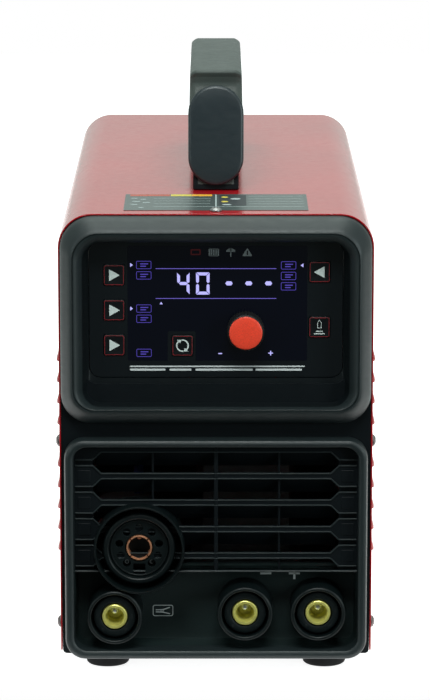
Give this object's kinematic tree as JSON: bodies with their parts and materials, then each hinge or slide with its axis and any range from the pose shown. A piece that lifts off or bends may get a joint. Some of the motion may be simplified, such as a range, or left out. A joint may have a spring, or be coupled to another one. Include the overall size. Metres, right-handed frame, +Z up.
{
  "type": "plasma cutter",
  "caption": "Portable box-shaped plasma cutting machine with a carrying handle, a keypad and display with a dial, an air compressor inside, and sockets for torch and clamp cables.",
  "frame": {"origin": "on the floor under the middle of the machine's bounding box", "axes": "+Z up, -Y towards the control panel, +X to the right as the front is faced"},
  "size_m": [0.238, 0.566, 0.4366],
  "materials": {
    "red_paint": "gloss powder coat",
    "black_moulding": "fine satin moulding",
    "handle_plastic": "satin moulding",
    "facia_gloss": "glossy film",
    "display_window": "tinted window over a lit display",
    "key_film": "semi-gloss film",
    "dial_grip": "satin, ribbed",
    "dial_red": "satin",
    "switch_red": "gloss",
    "socket_moulding": "satin moulding",
    "brass": "turned",
    "copper": "turned copper alloy",
    "zinc_steel": "zinc plated",
    "foot_rubber": "moulded",
    "black_steel": "black powder coat",
    "fan_plastic": "moulded",
    "circuit_board": "solder mask",
    "aluminium": "extruded",
    "cast_aluminium": "die cast",
    "winding": "enamelled copper on a ferrite core",
    "bowl_plastic": "smoked",
    "hose_plastic": "extruded"
  },
  "bodies": {
    "chassis": {"cover_shell": "red_paint", "base_tray": "black_steel", "front_panel": "black_moulding", "control_facia": "facia_gloss", "display_module": "display_window", "control_board": "circuit_board", "dial_encoder": "zinc_steel", "torch_socket_housing": "socket_moulding", "torch_socket_insulator": "socket_moulding", "torch_socket_contact": "copper", "clamp_socket_body": "socket_moulding", "clamp_socket_brass": "brass", "clamp_socket_pin": "zinc_steel", "negative_socket_body": "socket_moulding", "negative_socket_brass": "brass", "negative_socket_pin": "zinc_steel", "positive_socket_body": "socket_moulding", "positive_socket_brass": "brass", "positive_socket_pin": "zinc_steel", "cover_screw_left_upper": "zinc_steel", "cover_screw_left_lower": "zinc_steel", "cover_screw_right_upper": "zinc_steel", "cover_screw_right_lower": "zinc_steel", "cover_screw_top_front": "zinc_steel", "cover_screw_top_rear": "zinc_steel", "foot_front_left": "foot_rubber", "foot_front_right": "foot_rubber", "foot_rear_left": "foot_rubber", "foot_rear_right": "foot_rubber", "rear_panel": "black_moulding", "fan_guard": "black_steel", "power_switch_body": "socket_moulding", "cable_gland": "socket_moulding", "air_inlet": "brass", "fan_frame": "fan_plastic", "handle_body": "handle_plastic", "handle_cap_front": "handle_plastic", "handle_cap_rear": "handle_plastic", "deck": "black_steel", "heatsink": "aluminium", "inverter_board": "circuit_board", "main_transformer": "winding", "output_choke": "winding", "compressor_motor": "black_steel", "compressor_crankcase": "cast_aluminium", "compressor_cylinder": "cast_aluminium", "solenoid_valve": "brass", "filter_bowl": "bowl_plastic", "air_hose": "hose_plastic"},
    "key_air_source": {"key_air_source": "key_film"},
    "key_trigger_mode": {"key_trigger_mode": "key_film"},
    "key_post_flow": {"key_post_flow": "key_film"},
    "key_process": {"key_process": "key_film"},
    "key_gas_test": {"key_gas_test": "key_film"},
    "key_cycle": {"key_cycle": "key_film"},
    "dial": {"dial_body": "dial_grip", "dial_cap": "dial_red"},
    "rocker": {"power_switch_rocker": "switch_red"},
    "cooling_rotor": {"fan_rotor": "fan_plastic"},
    "compressor_rotor": {"compressor_fan": "fan_plastic"}
  },
  "joints": [
    {"name": "key_air_source_press", "type": "slide", "parent": "chassis", "child": "key_air_source", "axis": [0, 1, 0], "range_m": [0, 0.0006], "stiffness_N_per_m": 2500},
    {"name": "key_trigger_mode_press", "type": "slide", "parent": "chassis", "child": "key_trigger_mode", "axis": [0, 1, 0], "range_m": [0, 0.0006], "stiffness_N_per_m": 2500},
    {"name": "key_post_flow_press", "type": "slide", "parent": "chassis", "child": "key_post_flow", "axis": [0, 1, 0], "range_m": [0, 0.0006], "stiffness_N_per_m": 2500},
    {"name": "key_process_press", "type": "slide", "parent": "chassis", "child": "key_process", "axis": [0, 1, 0], "range_m": [0, 0.0006], "stiffness_N_per_m": 2500},
    {"name": "key_gas_test_press", "type": "slide", "parent": "chassis", "child": "key_gas_test", "axis": [0, 1, 0], "range_m": [0, 0.0006], "stiffness_N_per_m": 2500},
    {"name": "key_cycle_press", "type": "slide", "parent": "chassis", "child": "key_cycle", "axis": [0, 1, 0], "range_m": [0, 0.0006], "stiffness_N_per_m": 2500},
    {"name": "dial_turn", "type": "hinge", "parent": "chassis", "child": "dial", "pos_m": [0.0217, -0.267, 0.2586], "axis": [0, -1, 0], "continuous": true},
    {"name": "power_rocker", "type": "hinge", "parent": "chassis", "child": "rocker", "pos_m": [0.058, 0.267, 0.118], "axis": [1, 0, 0], "range_deg": [-20, 0]},
    {"name": "cooling_fan_spin", "type": "hinge", "parent": "chassis", "child": "cooling_rotor", "pos_m": [0, 0.252, 0.255], "axis": [0, 1, 0], "continuous": true},
    {"name": "compressor_fan_spin", "type": "hinge", "parent": "chassis", "child": "compressor_rotor", "pos_m": [0.024, 0.135, 0.08], "axis": [0, 1, 0], "continuous": true}
  ]
}
